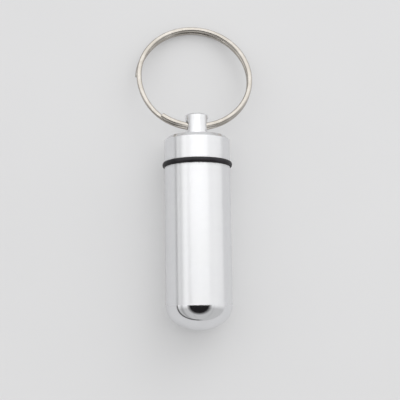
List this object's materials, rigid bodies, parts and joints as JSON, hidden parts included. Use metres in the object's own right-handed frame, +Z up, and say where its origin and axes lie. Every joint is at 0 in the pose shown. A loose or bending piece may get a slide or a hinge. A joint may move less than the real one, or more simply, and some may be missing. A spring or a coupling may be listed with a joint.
{
  "type": "pill capsule keychain",
  "caption": "Slim domed metal pill capsule with a threaded screw cap, rubber sealing ring, cross-drilled knob and split key ring.",
  "frame": {"origin": "bottom centre of the part as it lies on its side: the point of the surface under the middle of its box", "axes": "+Y along the capsule's axis from the domed end towards the cap and the split ring, +Z up from the surface, +X across, along the knob's cross hole"},
  "size_m": [0.0258, 0.0677, 0.0149],
  "materials": {
    "turned_aluminium": "bright turned bare aluminium, dome polished",
    "black_rubber": "satin moulded rubber",
    "nickel_plate": "nickel-plated spring steel wire"
  },
  "bodies": {
    "capsule": {"capsule_body": "turned_aluminium"},
    "seal": {"o_ring": "black_rubber"},
    "cap": {"screw_cap": "turned_aluminium"},
    "key_ring": {"split_ring": "nickel_plate"}
  },
  "joints": [
    {"name": "cap_lift", "type": "slide", "parent": "capsule", "child": "seal", "axis": [0, 1, 0], "range_m": [0, 0.00475]},
    {"name": "cap_turn", "type": "hinge", "parent": "seal", "child": "cap", "pos_m": [0, 0.00447, 0.00745], "axis": [0, 1, 0], "range_deg": [0, 1710]},
    {"name": "ring_swing", "type": "hinge", "parent": "cap", "child": "key_ring", "pos_m": [0, 0.00968, 0.00745], "axis": [1, 0, 0], "range_deg": [-145, 175]}
  ],
  "couplings": [
    {"joint": "cap_turn", "follows": "cap_lift", "rad_per_m": 6283.2}
  ]
}
